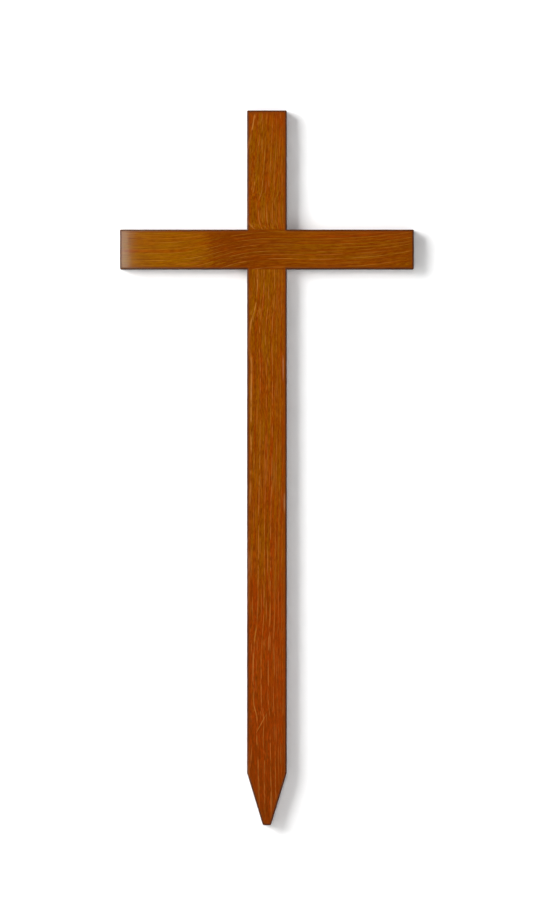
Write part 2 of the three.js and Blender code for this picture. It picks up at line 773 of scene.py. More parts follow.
class Term:
    """A value in a shader, which takes part in sums as a plain number does."""

    def __init__(self, sheet: "NodeSheet", socket: Socket) -> None:
        """Wraps one of the sheet's output sockets."""
        self.sheet = sheet
        self.socket = socket

    def __add__(self, other: "Value") -> "Term":
        """Adds a value."""
        return self.sheet.math("ADD", self, other)

    def __sub__(self, other: "Value") -> "Term":
        """Subtracts a value."""
        return self.sheet.math("SUBTRACT", self, other)

    def __mul__(self, other: "Value") -> "Term":
        """Multiplies by a value."""
        return self.sheet.math("MULTIPLY", self, other)

    def __truediv__(self, other: "Value") -> "Term":
        """Divides by a value."""
        return self.sheet.math("DIVIDE", self, other)

    def at_least(self, other: "Value") -> "Term":
        """Gives the larger of this and another value."""
        return self.sheet.math("MAXIMUM", self, other)

    def squared(self) -> "Term":
        """Multiplies the value by itself."""
        return self * self

    def change(self, operation: str) -> "Term":
        """Works out something of this value alone, such as its square root."""
        return self.sheet.math(operation, self)

    def rise(self, low: "Value", high: "Value") -> "Term":
        """Eases from 0 at low to 1 at high."""
        return self.sheet.ease(self, low, high)

    def fall(self, low: "Value", high: "Value") -> "Term":
        """Eases from 1 at low to 0 at high."""
        return self.sheet.ease(self, low, high, 1.0, 0.0)


@dataclass(frozen=True)
class Cloud:
    """Soft noise, by how many lumps there are to a unit each way and by its finer layers."""

    lumps: tuple[float, float, float]
    detail: float = 2.0
    rough: float = 0.5


class NodeSheet:
    """A short way to write a shader's nodes. Numbers, terms and sockets can be mixed freely."""

    def __init__(self, tree: bpy.types.NodeTree) -> None:
        """Starts on a material's or a group's tree and empties it."""
        self.tree = tree
        tree.nodes.clear()

    def node(self, kind: str, **settings: object) -> bpy.types.Node:
        """Adds a node.

        Args:
            kind: The node's type.
            settings: Its own properties.

        Returns:
            The node.
        """
        made = self.tree.nodes.new(kind)
        for key, value in settings.items():
            setattr(made, key, value)
        return made

    def feed(self, socket: Socket, value: "Value | tuple") -> None:
        """Links a socket to a value of the shader or sets its plain value.

        Args:
            socket: The input socket.
            value: What it takes.
        """
        if isinstance(value, Term):
            value = value.socket
        if isinstance(value, bpy.types.NodeSocket):
            self.tree.links.new(value, socket)
        else:
            socket.default_value = value

    def make(self, kind: str, *values: "Value | tuple", **settings: object) -> Term:
        """Adds a node, feeds its first inputs and takes its first output.

        Args:
            kind: The node's type.
            values: What its inputs take, in order.
            settings: Its own properties.

        Returns:
            The first output.
        """
        made = self.node(kind, **settings)
        for socket, value in zip(made.inputs, values):
            self.feed(socket, value)
        return Term(self, made.outputs[0])

    def math(self, operation: str, *values: "Value") -> Term:
        """Works out one operation."""
        return self.make("ShaderNodeMath", *values, operation=operation)

    def ease(
        self, value: "Value", low: "Value", high: "Value", start: float = 0.0, end: float = 1.0
    ) -> Term:
        """Eases a value from start at low to end at high."""
        values = (value, low, high, start, end)
        return self.make("ShaderNodeMapRange", *values, interpolation_type="SMOOTHSTEP")

    def blend(self, share: "Value", first: "Value | tuple", second: "Value | tuple") -> Term:
        """Blends two colours.

        Args:
            share: 0 for the first colour and 1 for the second.
            first: The first colour.
            second: The second colour.

        Returns:
            The blended colour.
        """
        made = self.node("ShaderNodeMix", data_type="RGBA", clamp_factor=True)
        colour_sockets = [socket for socket in made.inputs if socket.type == "RGBA"]
        self.feed(made.inputs["Factor"], share)
        self.feed(colour_sockets[0], first)
        self.feed(colour_sockets[1], second)
        return Term(self, next(socket for socket in made.outputs if socket.type == "RGBA"))

    def split(self, vector: "Value") -> list[Term]:
        """Takes a vector apart into its three values."""
        made = self.node("ShaderNodeSeparateXYZ")
        self.feed(made.inputs[0], vector)
        return [Term(self, socket) for socket in made.outputs]

    def join(self, x: "Value", y: "Value", z: "Value") -> Term:
        """Puts three values together into a vector."""
        return self.make("ShaderNodeCombineXYZ", x, y, z)

    def stretch(self, vector: "Value", by: tuple[float, float, float]) -> Term:
        """Scales a vector's three values on their own."""
        return self.make("ShaderNodeVectorMath", vector, by, operation="MULTIPLY")

    def shift(self, vector: "Value", by: tuple[float, float, float]) -> Term:
        """Moves a vector."""
        return self.make("ShaderNodeVectorMath", vector, by, operation="ADD")

    def clouds(self, vector: "Value", cloud: Cloud) -> Term:
        """Adds soft noise between 0 and 1.

        Args:
            vector: Where to read it.
            cloud: What it is like.

        Returns:
            The noise.
        """
        made = self.node("ShaderNodeTexNoise", noise_dimensions="3D")
        self.feed(made.inputs["Vector"], self.stretch(vector, cloud.lumps))
        self.feed(made.inputs["Scale"], 1.0)
        self.feed(made.inputs["Detail"], cloud.detail)
        self.feed(made.inputs["Roughness"], cloud.rough)
        return Term(self, made.outputs[0])

    def chance(self, value: "Value") -> Term:
        """Draws one steady random number for each whole value."""
        made = self.node("ShaderNodeTexWhiteNoise", noise_dimensions="1D")
        self.feed(made.inputs["W"], value)
        return Term(self, made.outputs[0])

    def use(self, group: bpy.types.NodeTree, **inputs: "Value | tuple") -> dict[str, Term]:
        """Places a group.

        Args:
            group: The group's tree.
            inputs: Its inputs, with spaces in their names written as underscores.

        Returns:
            What the group gives, by name.
        """
        made = self.node("ShaderNodeGroup", node_tree=group)
        for key, value in inputs.items():
            self.feed(made.inputs[key.replace("_", " ")], value)
        return {socket.name: Term(self, socket) for socket in made.outputs}


# The sockets of the groups that carry a vector, and the least span of a curve's values
VECTOR_SOCKETS = ("Board", "Grain")
LEAST_SPAN = 1e-6

# The growth rings: how the pale line fades to its sides, what makes the rings wander and how far,
# how the years differ, and where the line and the soft wood lie in a ring
LINE_FADE = (0.25, 0.75)
RING_WANDER = ((Cloud((0.025, 0.025, 0.009), 1.0), 1.0), (Cloud((0.1, 0.1, 0.014)), 0.4))
YEARS = Cloud((0.13, 1.0, 1.0), 1.0)
YEAR_SWING = 0.8
LATE_GROWTH = 0.007
LATEWOOD_PLACE = 0.85
EARLYWOOD_SHARE = 0.6

# The fibres and pores: the noise that each is drawn from, and where it starts to show and is full
FIBRE_KINDS = {
    "Tint": (Cloud((2.2, 9.0, 0.012), 3.0, 0.6), 0.3, 0.7),
    "Streaks": (Cloud((6.0, 20.0, 0.045), 3.0, 0.7), 0.32, 0.68),
    "Fine Fibres": (Cloud((9.0, 32.0, 0.17), 3.0, 0.7), 0.28, 0.72),
    "Pale Threads": (Cloud((6.0, 19.0, 0.022), 2.0, 0.6), 0.57, 0.67),
    "Breaks": (Cloud((0.9, 2.0, 0.065), 2.0, 0.6), 0.38, 0.6),
}
PORES = (Cloud((1.1, 1.1, 0.12), 2.0, 0.6), 0.62, 0.75)

# The eased edges, whose dark edge is partly painted shade and whose pale line is a painted
# highlight, and the small places on the front face, some of them painted glints
EDGE_WANDER = Cloud((0.3, 0.3, 0.3), 3.0, 0.6)
EDGE_SWING = 1.2
EDGE_FADE = 1.9
PALE_LINE_FADE = 1.6
RAGGED_RIM = Cloud((1.6, 1.6, 0.22), 3.0, 0.65)
RIM_SWING = 1.4
SPOT_FADE = (0.15, 1.0)
FRONT_DEPTHS = (-8.0, -6.0)

# The varnish film: uneven gloss, brush marks, what makes it duller, and its relief
VARNISH_PATCHES = Cloud((0.08, 0.08, 0.03), 3.0, 0.6)
BRUSH_MARKS = Cloud((1.3, 1.3, 0.02))
PATCH_SWING = 0.03
FIBRE_DULLNESS = 0.015
DULL_ROUGHNESS = 0.3
BRUSH_HEIGHT = 0.003
VARNISH_RELIEF = {"Latewood": 0.004, "Fine Fibres": 0.002, "Pores": -0.006}

# The stain: how strongly each part of the wood takes it, and how strongly the painted shade of the
# dark edge and the painted highlight of the pale line show
STAIN_BLOTCHES = Cloud((0.07, 0.07, 0.018), 3.0, 0.55)
RING_TINT = 0.4
SOAKED_SHARE = 0.325
FINE_SHARE = 0.75
STREAK_SHARE = 0.4
EARLYWOOD_STAIN = 0.1
PORE_STAIN = 0.35
LINE_SWING = 0.6
END_GRAIN_FACING = (0.6, 0.9)
END_GRAIN_STAIN = 0.75
END_GRAIN_DULLNESS = 0.5
RED_BAND_STAIN = 0.25
SOAKED_BAND_STAIN = 0.42
PALE_LINE_HIGHLIGHT = 0.05
DARK_EDGE_STAIN_AND_SHADE = 0.9
LATEWOOD_RESISTANCE = 0.4


def named_inputs(spot: object) -> dict[str, float]:
    """Names a spot's values as its shader group's inputs."""
    return {key.title(): value for key, value in vars(spot).items()}


class EffectGroup:
    """A shader node group with named sockets, built once for all materials."""

    def __init__(self, name: str, takes: dict[str, float], gives: tuple[str, ...]) -> None:
        """Makes the group's sockets.

        Args:
            name: The group's name.
            takes: Its inputs apart from the place in the board, each with its plain value.
            gives: The names of its outputs.
        """
        self.tree = bpy.data.node_groups.new(name, "ShaderNodeTree")
        self.sheet = NodeSheet(self.tree)
        takes = {"Board": 0.0, **takes}
        for label, plain in takes.items():
            made = self.add_socket(label, "INPUT")
            if label not in VECTOR_SOCKETS:
                made.default_value = plain
        for label in gives:
            self.add_socket(label, "OUTPUT")
        sockets = self.sheet.node("NodeGroupInput").outputs
        self.given = {label: Term(self.sheet, sockets[label]) for label in takes}
        self.results = self.sheet.node("NodeGroupOutput").inputs

    def add_socket(self, label: str, way: str) -> bpy.types.NodeTreeInterfaceSocket:
        """Adds an input or an output."""
        kind = "NodeSocketVector" if label in VECTOR_SOCKETS else "NodeSocketFloat"
        return self.tree.interface.new_socket(label, in_out=way, socket_type=kind)

    def give(self, label: str, value: Term) -> None:
        """Links a result to one of the group's outputs."""
        self.sheet.feed(self.results[label], value)

    def off_centre(self) -> Term:
        """Measures how far a place is from the centre of the group's long spot.

        Returns:
            The distance squared, which is 1 on the spot's rim.
        """
        given = self.given
        across, _, along = self.sheet.split(given["Board"])
        past = along - given["Along"]
        beside = across - given["Across"]
        if "Slant" in given:
            beside = beside - past * given["Slant"]
        beside, past = beside / given["Half Width"], past / given["Half Length"]
        return beside.squared() + past.squared()


def grain_eye_group() -> bpy.types.NodeTree:
    """Builds the swelling that a hidden knot leaves in the rings around it.

    Returns:
        A group that gives how far the rings are pushed out, in millimetres.
    """
    takes = {"Across": 0.0, "Along": 0.0, "Half Width": 9.0, "Half Length": 16.0, "Push": 0.0}
    group = EffectGroup("Grain Eye", takes, ("Push",))
    swell = (group.off_centre() * -1.0).change("EXPONENT")
    group.give("Push", swell * group.given["Push"])
    return group.tree


def growth_rings_group() -> bpy.types.NodeTree:
    """Builds the growth rings round a pith.

    Returns:
        A group that gives the place in the rings, the pale latewood lines, the soft earlywood
        after each of them and a random number for each ring.
    """
    takes = {
        "Pith Across": 0.0,
        "Pith Depth": 25.0,
        "Ring Width": 4.8,
        "Shift": 0.0,
        "Slow Growth": 50.0,
        "Wander": 1.2,
        "Line Width": 0.12,
        "Push": 0.0,
    }
    gives = ("Grain", "Latewood", "Earlywood", "Ring Chance")
    group = EffectGroup("Growth Rings", takes, gives)
    sheet, given = group.sheet, group.given
    across, depth, along = sheet.split(given["Board"])
    from_pith = across - given["Pith Across"]
    below_face = depth - given["Pith Depth"]
    radius = (from_pith.squared() + below_face.squared()).change("SQRT")
    for cloud, strength in RING_WANDER:
        swing = (sheet.clouds(given["Board"], cloud) - 0.5) * given["Wander"]
        radius = radius + swing * strength
    radius = radius + given["Push"]
    years = sheet.clouds(sheet.join(radius, 0.0, 0.0), YEARS)
    late_years = (radius - given["Slow Growth"]).at_least(0.0).squared()
    place = radius / given["Ring Width"] + years * YEAR_SWING
    place = place + late_years * LATE_GROWTH + given["Shift"]
    in_ring = place.change("FRACT")
    off_line = (in_ring - LATEWOOD_PLACE).change("ABSOLUTE")
    line = given["Line Width"]
    turn = sheet.math("ARCTAN2", from_pith, below_face)
    group.give("Grain", sheet.join(place, turn, along))
    group.give("Latewood", off_line.fall(*(line * share for share in LINE_FADE)))
    group.give("Earlywood", in_ring.fall(0.0, EARLYWOOD_SHARE))
    group.give("Ring Chance", sheet.chance(place.change("FLOOR")))
    return group.tree


def fibres_group() -> bpy.types.NodeTree:
    """Builds the fibres that run along the grain.

    Returns:
        A group that gives the streaks of the tint, narrower streaks, fine fibres, single pale
        threads, the breaks in the pale lines and pores.
    """
    takes = {"Grain": 0.0, "Fibre Length": 1.0}
    group = EffectGroup("Fibres", takes, (*FIBRE_KINDS, "Pores"))
    sheet, given = group.sheet, group.given
    ring_place, turn, along = sheet.split(given["Grain"])
    grain = sheet.join(ring_place, turn, along / given["Fibre Length"])
    for label, (cloud, low, high) in FIBRE_KINDS.items():
        group.give(label, sheet.clouds(grain, cloud).rise(low, high))
    cloud, low, high = PORES
    group.give("Pores", sheet.clouds(given["Board"], cloud).rise(low, high))
    return group.tree


def edge_finish_group() -> bpy.types.NodeTree:
    """Builds the colours along the eased edges: a dark edge that is partly stain and partly painted
    shade, a painted highlight as a pale line inside it, and a redder band of stain.

    Returns:
        A group that gives the dark edge, the pale line inside it and the redder band.
    """
    takes = {"Edge Distance": 0.0, "Edge Width": 1.5, "Band Width": 5.0}
    group = EffectGroup("Edge Finish", takes, ("Dark Edge", "Pale Line", "Red Band"))
    given = group.given
    wander = (group.sheet.clouds(given["Board"], EDGE_WANDER) - 0.5) * EDGE_SWING
    distance = given["Edge Distance"] + wander
    outer = given["Edge Width"]
    inner = outer * EDGE_FADE
    line = distance.rise(outer, inner) * distance.fall(inner, inner * PALE_LINE_FADE)
    group.give("Dark Edge", distance.fall(outer, inner))
    group.give("Pale Line", line)
    group.give("Red Band", distance.fall(inner, given["Band Width"]))
    return group.tree


def face_spot_group() -> bpy.types.NodeTree:
    """Builds a spot of a given size on the front face, long along the grain.

    Returns:
        A group that gives the spot's mask.
    """
    takes = {
        "Across": 0.0,
        "Along": 0.0,
        "Half Width": 1.0,
        "Half Length": 10.0,
        "Slant": 0.0,
        "Strength": 1.0,
    }
    group = EffectGroup("Face Spot", takes, ("Spot",))
    sheet, given = group.sheet, group.given
    ragged = (sheet.clouds(given["Board"], RAGGED_RIM) - 0.5) * RIM_SWING
    depth = sheet.split(given["Board"])[1]
    spot = (group.off_centre() + ragged).fall(*SPOT_FADE) * depth.fall(*FRONT_DEPTHS)
    group.give("Spot", spot * given["Strength"])
    return group.tree


def varnish_group() -> bpy.types.NodeTree:
    """Builds the varnish film's own surface.

    Returns:
        A group that gives its roughness and the height of its relief in millimetres.
    """
    takes = {"Latewood": 0.0, "Fine Fibres": 0.0, "Pores": 0.0, "Wear": 0.0, "Gloss": 0.12}
    group = EffectGroup("Varnish", takes, ("Roughness", "Height"))
    sheet, given = group.sheet, group.given
    patches = (sheet.clouds(given["Board"], VARNISH_PATCHES) - 0.5) * PATCH_SWING
    rough = given["Gloss"] + patches + given["Fine Fibres"] * FIBRE_DULLNESS
    rough = rough + given["Wear"] * DULL_ROUGHNESS
    height = sheet.clouds(given["Board"], BRUSH_MARKS) * BRUSH_HEIGHT
    for label, rise in VARNISH_RELIEF.items():
        height = height + given[label] * rise
    group.give("Roughness", rough)
    group.give("Height", height)
    return group.tree


@dataclass(frozen=True)
class EffectLibrary:
    """The shader groups that both boards use."""

    eye: bpy.types.NodeTree
    rings: bpy.types.NodeTree
    fibres: bpy.types.NodeTree
    edges: bpy.types.NodeTree
    spot: bpy.types.NodeTree
    varnish: bpy.types.NodeTree

    @classmethod
    def build(cls) -> "EffectLibrary":
        """Builds every group once."""
        return cls(
            eye=grain_eye_group(),
            rings=growth_rings_group(),
            fibres=fibres_group(),
            edges=edge_finish_group(),
            spot=face_spot_group(),
            varnish=varnish_group(),
        )


@dataclass(frozen=True)
class FaceSpot:
    """A small spot on the board's front face, in millimetres, used both for pale marks in the grain
    and for painted glints.
    """

    across: float
    along: float
    half_width: float
    half_length: float
    strength: float
    slant: float = 0.0


@dataclass(frozen=True)
class GrainEye:
    """A swelling of the rings round a hidden knot, in millimetres."""

    across: float
    along: float
    half_width: float
    half_length: float
    push: float


@dataclass(frozen=True)
class StainColours:
    """The colours of one board's stain, as chips, with the edge chip partly painted shade and the
    glint chip a painted reflection. The last four are the same for both boards.
    """

    gold: str
    red: str
    pale: str
    shade: str = "#662b01"
    edge: str = "#4f2302"
    end_grain: str = "#562807"
    rubbed: str = "#a47247"


Curve = tuple[tuple[float, float], ...]


@dataclass(frozen=True)
class BoardFinish:
    """How one board is grown, stained and varnished.

    Lengths are in millimetres. A curve gives places along the board and the value at each.
    """

    name: str
    colours: StainColours
    ring_width: float
    ring_shift: float
    slow_growth: float
    line_width: float
    wander: float
    pith_across: Curve
    pith_depth: Curve
    gold_drift: Curve
    shade_drift: Curve
    line_strength: float
    thread_strength: float
    contrast: float
    fibre_length: float
    swing: float = 0.85
    gloss: float = 0.08
    grain_eyes: tuple[GrainEye, ...] = ()
    pale_marks: tuple[FaceSpot, ...] = ()
    # Pale spots near the edges, painted as reflections in the varnish.
    worn_spots: tuple[FaceSpot, ...] = ()
    grain_offset: tuple[float, float, float] = (0.0, 0.0, 0.0)


@dataclass
class WoodMaterial:
    """Turns a board's finish into its material."""

    finish: BoardFinish
    effects: EffectLibrary
    axis: BoardAxis
    middle: float = 0.0
    refraction: float = 1.5
    relief_strength: float = 0.6

    def __post_init__(self) -> None:
        """Starts the material's nodes with the place in the board."""
        self.material = bpy.data.materials.new(self.finish.name)
        self.material.use_nodes = True
        self.sheet = NodeSheet(self.material.node_tree)
        self.place = self.board_place()
        self.along = self.sheet.split(self.place)[2]

    def board_place(self) -> Term:
        """Gives the place in the board: across, through and along it, in millimetres."""
        source = self.sheet.node("ShaderNodeTexCoord").outputs["Object"]
        x, y, z = self.sheet.split(self.sheet.stretch(source, (PER_METRE,) * 3))
        if self.axis is BoardAxis.UPRIGHT:
            return self.sheet.join(x, y, z)
        return self.sheet.join(z - self.middle * PER_METRE, y, x)

    def curve(self, points: Curve) -> Term:
        """Reads a value that changes along the board.

        Args:
            points: The places along the board and their values, in order.

        Returns:
            The value at the place.
        """
        places, values = zip(*points)
        low, high = min(places), max(places)
        bottom, top = min(values), max(values)
        span = max(top - bottom, LEAST_SPAN)
        made = self.sheet.node("ShaderNodeFloatCurve")
        line = made.mapping.curves[0]
        ends = [((p - low) / (high - low), (v - bottom) / span) for p, v in points]
        line.points[0].location = ends[0]
        line.points[1].location = ends[-1]
        for at in ends[1:-1]:
            line.points.new(*at)
        made.mapping.update()
        self.sheet.feed(made.inputs["Value"], (self.along - low) / (high - low))
        return Term(self.sheet, made.outputs[0]) * span + bottom

    def build(self) -> bpy.types.Material:
        """Builds the material.

        Returns:
            The finished material.
        """
        finish, sheet, place = self.finish, self.sheet, self.place
        rings = sheet.use(
            self.effects.rings,
            Board=sheet.shift(place, finish.grain_offset),
            Pith_Across=self.curve(finish.pith_across),
            Pith_Depth=self.curve(finish.pith_depth),
            Ring_Width=finish.ring_width,
            Shift=finish.ring_shift,
            Slow_Growth=finish.slow_growth,
            Wander=finish.wander,
            Line_Width=finish.line_width,
            Push=self.swelling(),
        )
        grain, length = rings["Grain"], finish.fibre_length
        fibres = sheet.use(self.effects.fibres, Grain=grain, Board=place, Fibre_Length=length)
        edge = sheet.node("ShaderNodeAttribute", attribute_name=EDGE_ATTRIBUTE).outputs["Fac"]
        edges = sheet.use(self.effects.edges, Edge_Distance=edge, Board=place)
        ends = self.end_grain_share()
        # Painted reflections: pale spots near the edges that stand in for light the varnish
        # mirrors; they also make the varnish duller.
        glint_mask = self.spots(finish.worn_spots)
        colours = finish.colours
        colour = self.stained(rings, fibres)
        dark_edge = rings["Latewood"] * -LATEWOOD_RESISTANCE + DARK_EDGE_STAIN_AND_SHADE
        layers = (
            (ends * END_GRAIN_STAIN, colours.end_grain),
            (edges["Red Band"] * RED_BAND_STAIN, colours.red),
            (edges["Red Band"] * SOAKED_BAND_STAIN, colours.shade),
            # The pale line inside the dark edge is a painted highlight.
            (edges["Pale Line"] * PALE_LINE_HIGHLIGHT, colours.pale),
            # The dark edge is partly stain gathered on the eased edges and partly painted shade.
            (edges["Dark Edge"] * dark_edge, colours.edge),
            (self.spots(finish.pale_marks), colours.pale),
            # The glint spots are painted reflections of the varnish near the edges.
            (glint_mask, colours.rubbed),
        )
        for share, chip in layers:
            colour = sheet.blend(share, colour, linear(chip))
        surface = sheet.use(
            self.effects.varnish,
            Board=place,
            Latewood=rings["Latewood"],
            Fine_Fibres=fibres["Fine Fibres"],
            Pores=fibres["Pores"],
            Wear=(ends * END_GRAIN_DULLNESS).at_least(edges["Dark Edge"]).at_least(glint_mask),
            Gloss=finish.gloss,
        )
        self.varnish(colour, surface)
        return self.material

    def varnish(self, colour: Term, surface: dict[str, Term]) -> None:
        """Puts the film over the stained wood.

        Args:
            colour: The wood's colour.
            surface: What the varnish group gives.
        """
        feed = self.sheet.feed
        bump = self.sheet.node("ShaderNodeBump")
        feed(bump.inputs["Strength"], self.relief_strength)
        feed(bump.inputs["Distance"], MM)
        feed(bump.inputs["Height"], surface["Height"])
        shader = self.sheet.node("ShaderNodeBsdfPrincipled")
        feed(shader.inputs["IOR"], self.refraction)
        feed(shader.inputs["Base Color"], colour)
        feed(shader.inputs["Roughness"], surface["Roughness"])
        feed(shader.inputs["Normal"], bump.outputs[0])
        feed(self.sheet.node("ShaderNodeOutputMaterial").inputs["Surface"], shader.outputs[0])

    def stained(self, rings: dict[str, Term], fibres: dict[str, Term]) -> Term:
        """Stains the open wood.

        Args:
            rings: What the growth rings group gives.
            fibres: What the fibres group gives.

        Returns:
            The stained wood's colour.
        """
        finish, sheet, colours = self.finish, self.sheet, self.finish.colours
        gold = self.curve(finish.gold_drift)
        gold = gold + (sheet.clouds(self.place, STAIN_BLOTCHES) - 0.5)
        gold = gold + (rings["Ring Chance"] - 0.5) * RING_TINT
        gold = gold + (fibres["Tint"] - 0.5) * finish.swing
        colour = sheet.blend(gold, linear(colours.red), linear(colours.gold))
        fine, streaks = FINE_SHARE * finish.contrast, STREAK_SHARE * finish.contrast
        soaked = self.curve(finish.shade_drift)
        soaked = soaked + (SOAKED_SHARE - (fine + streaks) / 2)
        soaked = soaked + rings["Earlywood"] * EARLYWOOD_STAIN + fibres["Pores"] * PORE_STAIN
        soaked = soaked + fibres["Fine Fibres"] * fine + fibres["Streaks"] * streaks
        colour = sheet.blend(soaked, colour, linear(colours.shade))
        strength = (rings["Ring Chance"] * LINE_SWING + (1 - LINE_SWING)) * fibres["Breaks"]
        line = rings["Latewood"] * strength * finish.line_strength
        line = line.at_least(fibres["Pale Threads"] * finish.thread_strength)
        return sheet.blend(line, colour, linear(colours.pale))

    def swelling(self) -> "Value":
        """Adds up what the hidden knots push the rings out by, in millimetres."""
        total: "Value" = 0.0
        for eye in self.finish.grain_eyes:
            values = named_inputs(eye)
            total = self.sheet.use(self.effects.eye, Board=self.place, **values)["Push"] + total
        return total

    def spots(self, spots: tuple[FaceSpot, ...]) -> "Value":
        """Adds up small places on the front face and gives how strongly they show."""
        total: "Value" = 0.0
        for spot in spots:
            values = named_inputs(spot)
            mask = self.sheet.use(self.effects.spot, Board=self.place, **values)["Spot"]
            total = mask.at_least(total)
        return total

    def end_grain_share(self) -> Term:
        """Gives 1 where the surface faces along the board and 0 on its long sides."""
        facing = self.sheet.node("ShaderNodeNewGeometry").outputs["True Normal"]
        x, _, z = self.sheet.split(facing)
        along = z if self.axis is BoardAxis.UPRIGHT else x
        return along.change("ABSOLUTE").rise(*END_GRAIN_FACING)


POST_FINISH = BoardFinish(
    name="stained post wood",
    colours=StainColours(gold="#8a5100", red="#943603", pale="#b37430"),
    ring_width=4.85,
    ring_shift=-0.35,
    slow_growth=50.0,
    line_width=0.11,
    wander=0.9,
    pith_across=((0, -30), (320, -31), (540, -29), (900, -30)),
    pith_depth=(
        (0, 22), (132, 23), (158, 25), (213, 25), (268, 22.5), (535, 21.6), (579, 21.6),
        (604, 22.4), (630, 21.8), (699, 18), (752, 26), (773, 28), (797, 25.8), (845, 23),
        (900, 19.2),
    ),
    gold_drift=(
        (0, -1.0), (60, -0.75), (160, -0.2), (290, 0.12), (380, 0.5), (600, 0.6), (790, 0.65),
        (900, 0.3),
    ),
    shade_drift=((0, 0.42), (70, 0.24), (250, 0.04), (450, 0.04), (900, 0.04)),
    line_strength=0.64,
    thread_strength=0.3,
    contrast=1.32,
    fibre_length=1.15,
    grain_eyes=(GrainEye(across=-7, along=106, half_width=9, half_length=16, push=0.7),),
    pale_marks=(
        FaceSpot(
            across=-7.2, along=128, half_width=0.9, half_length=14, strength=0.45, slant=0.54
        ),
    ),
    # Painted reflections along both edges of the post.
    worn_spots=(
        FaceSpot(across=20.5, along=575, half_width=1.0, half_length=20, strength=0.5),
        FaceSpot(across=22.0, along=406, half_width=1.2, half_length=15, strength=0.5),
        FaceSpot(across=-20.0, along=546, half_width=0.9, half_length=11, strength=0.35),
        FaceSpot(across=-22.5, along=327, half_width=0.9, half_length=12, strength=0.35),
    ),
)

CROSSBAR_FINISH = BoardFinish(
    name="stained crossbar wood",
    colours=StainColours(gold="#915b00", red="#9a4203", pale="#ac6e2c"),
    ring_width=3.4,
    ring_shift=0.2,
    slow_growth=80.0,
    line_width=0.12,
    wander=1.3,
    pith_across=((-185, -52), (-113, -52), (0, -43), (79, -43), (185, -36)),
    pith_depth=((-185, 35), (-144, 35), (-113, 34), (-28, 24.2), (0, 22.5), (79, 22.5), (185, 18)),
    gold_drift=(
        (-185, 1.3), (-165, 1.0), (-135, 0.95), (-85, 0.85), (-44, 0.4), (0, 0.45), (54, 0.65),
        (104, 0.55), (185, 0.45),
    ),
    shade_drift=(
        (-185, 0.2), (-165, 0.04), (-135, 0.02), (-85, 0.1), (-44, 0.5), (0, 0.42), (54, 0.28),
        (185, 0.4),
    ),
    line_strength=0.6,
    thread_strength=0.16,
    contrast=1.02,
    fibre_length=1.8,
    grain_offset=(0.0, 0.0, 730.0),
)


class LightUse(Enum):
    """What a studio light does: it lights the wood, or is only mirrored in the varnish."""

    LIGHTS = "lights"
    MIRRORED = "mirrored"


@dataclass(frozen=True)
class SoftBox:
    """A rectangular studio light, given by where it stands and what it faces."""

    name: str
    use: LightUse
    place: tuple[float, float, float]
    target: tuple[float, float, float]
    width: float
    height: float
    brightness: float
    tint: tuple[float, float, float] = (1.0, 1.0, 1.0)

    def build(self) -> bpy.types.Object:
        """Adds the light.

        Returns:
            The light's object.
        """
        light = bpy.data.lights.new(self.name, "AREA")
        light.shape = "RECTANGLE"
        light.size = self.width
        light.size_y = self.height
        light.energy = self.brightness * math.pi * self.width * self.height
        light.color = self.tint
        box = bpy.data.objects.new(self.name, light)
        bpy.context.scene.collection.objects.link(box)
        box.location = self.place
        facing = Vector(self.target) - Vector(self.place)
        box.rotation_euler = facing.to_track_quat("-Z", "Y").to_euler()
        box.visible_camera = False
        box.visible_glossy = self.use is LightUse.MIRRORED
        box.visible_diffuse = self.use is LightUse.LIGHTS
        return box


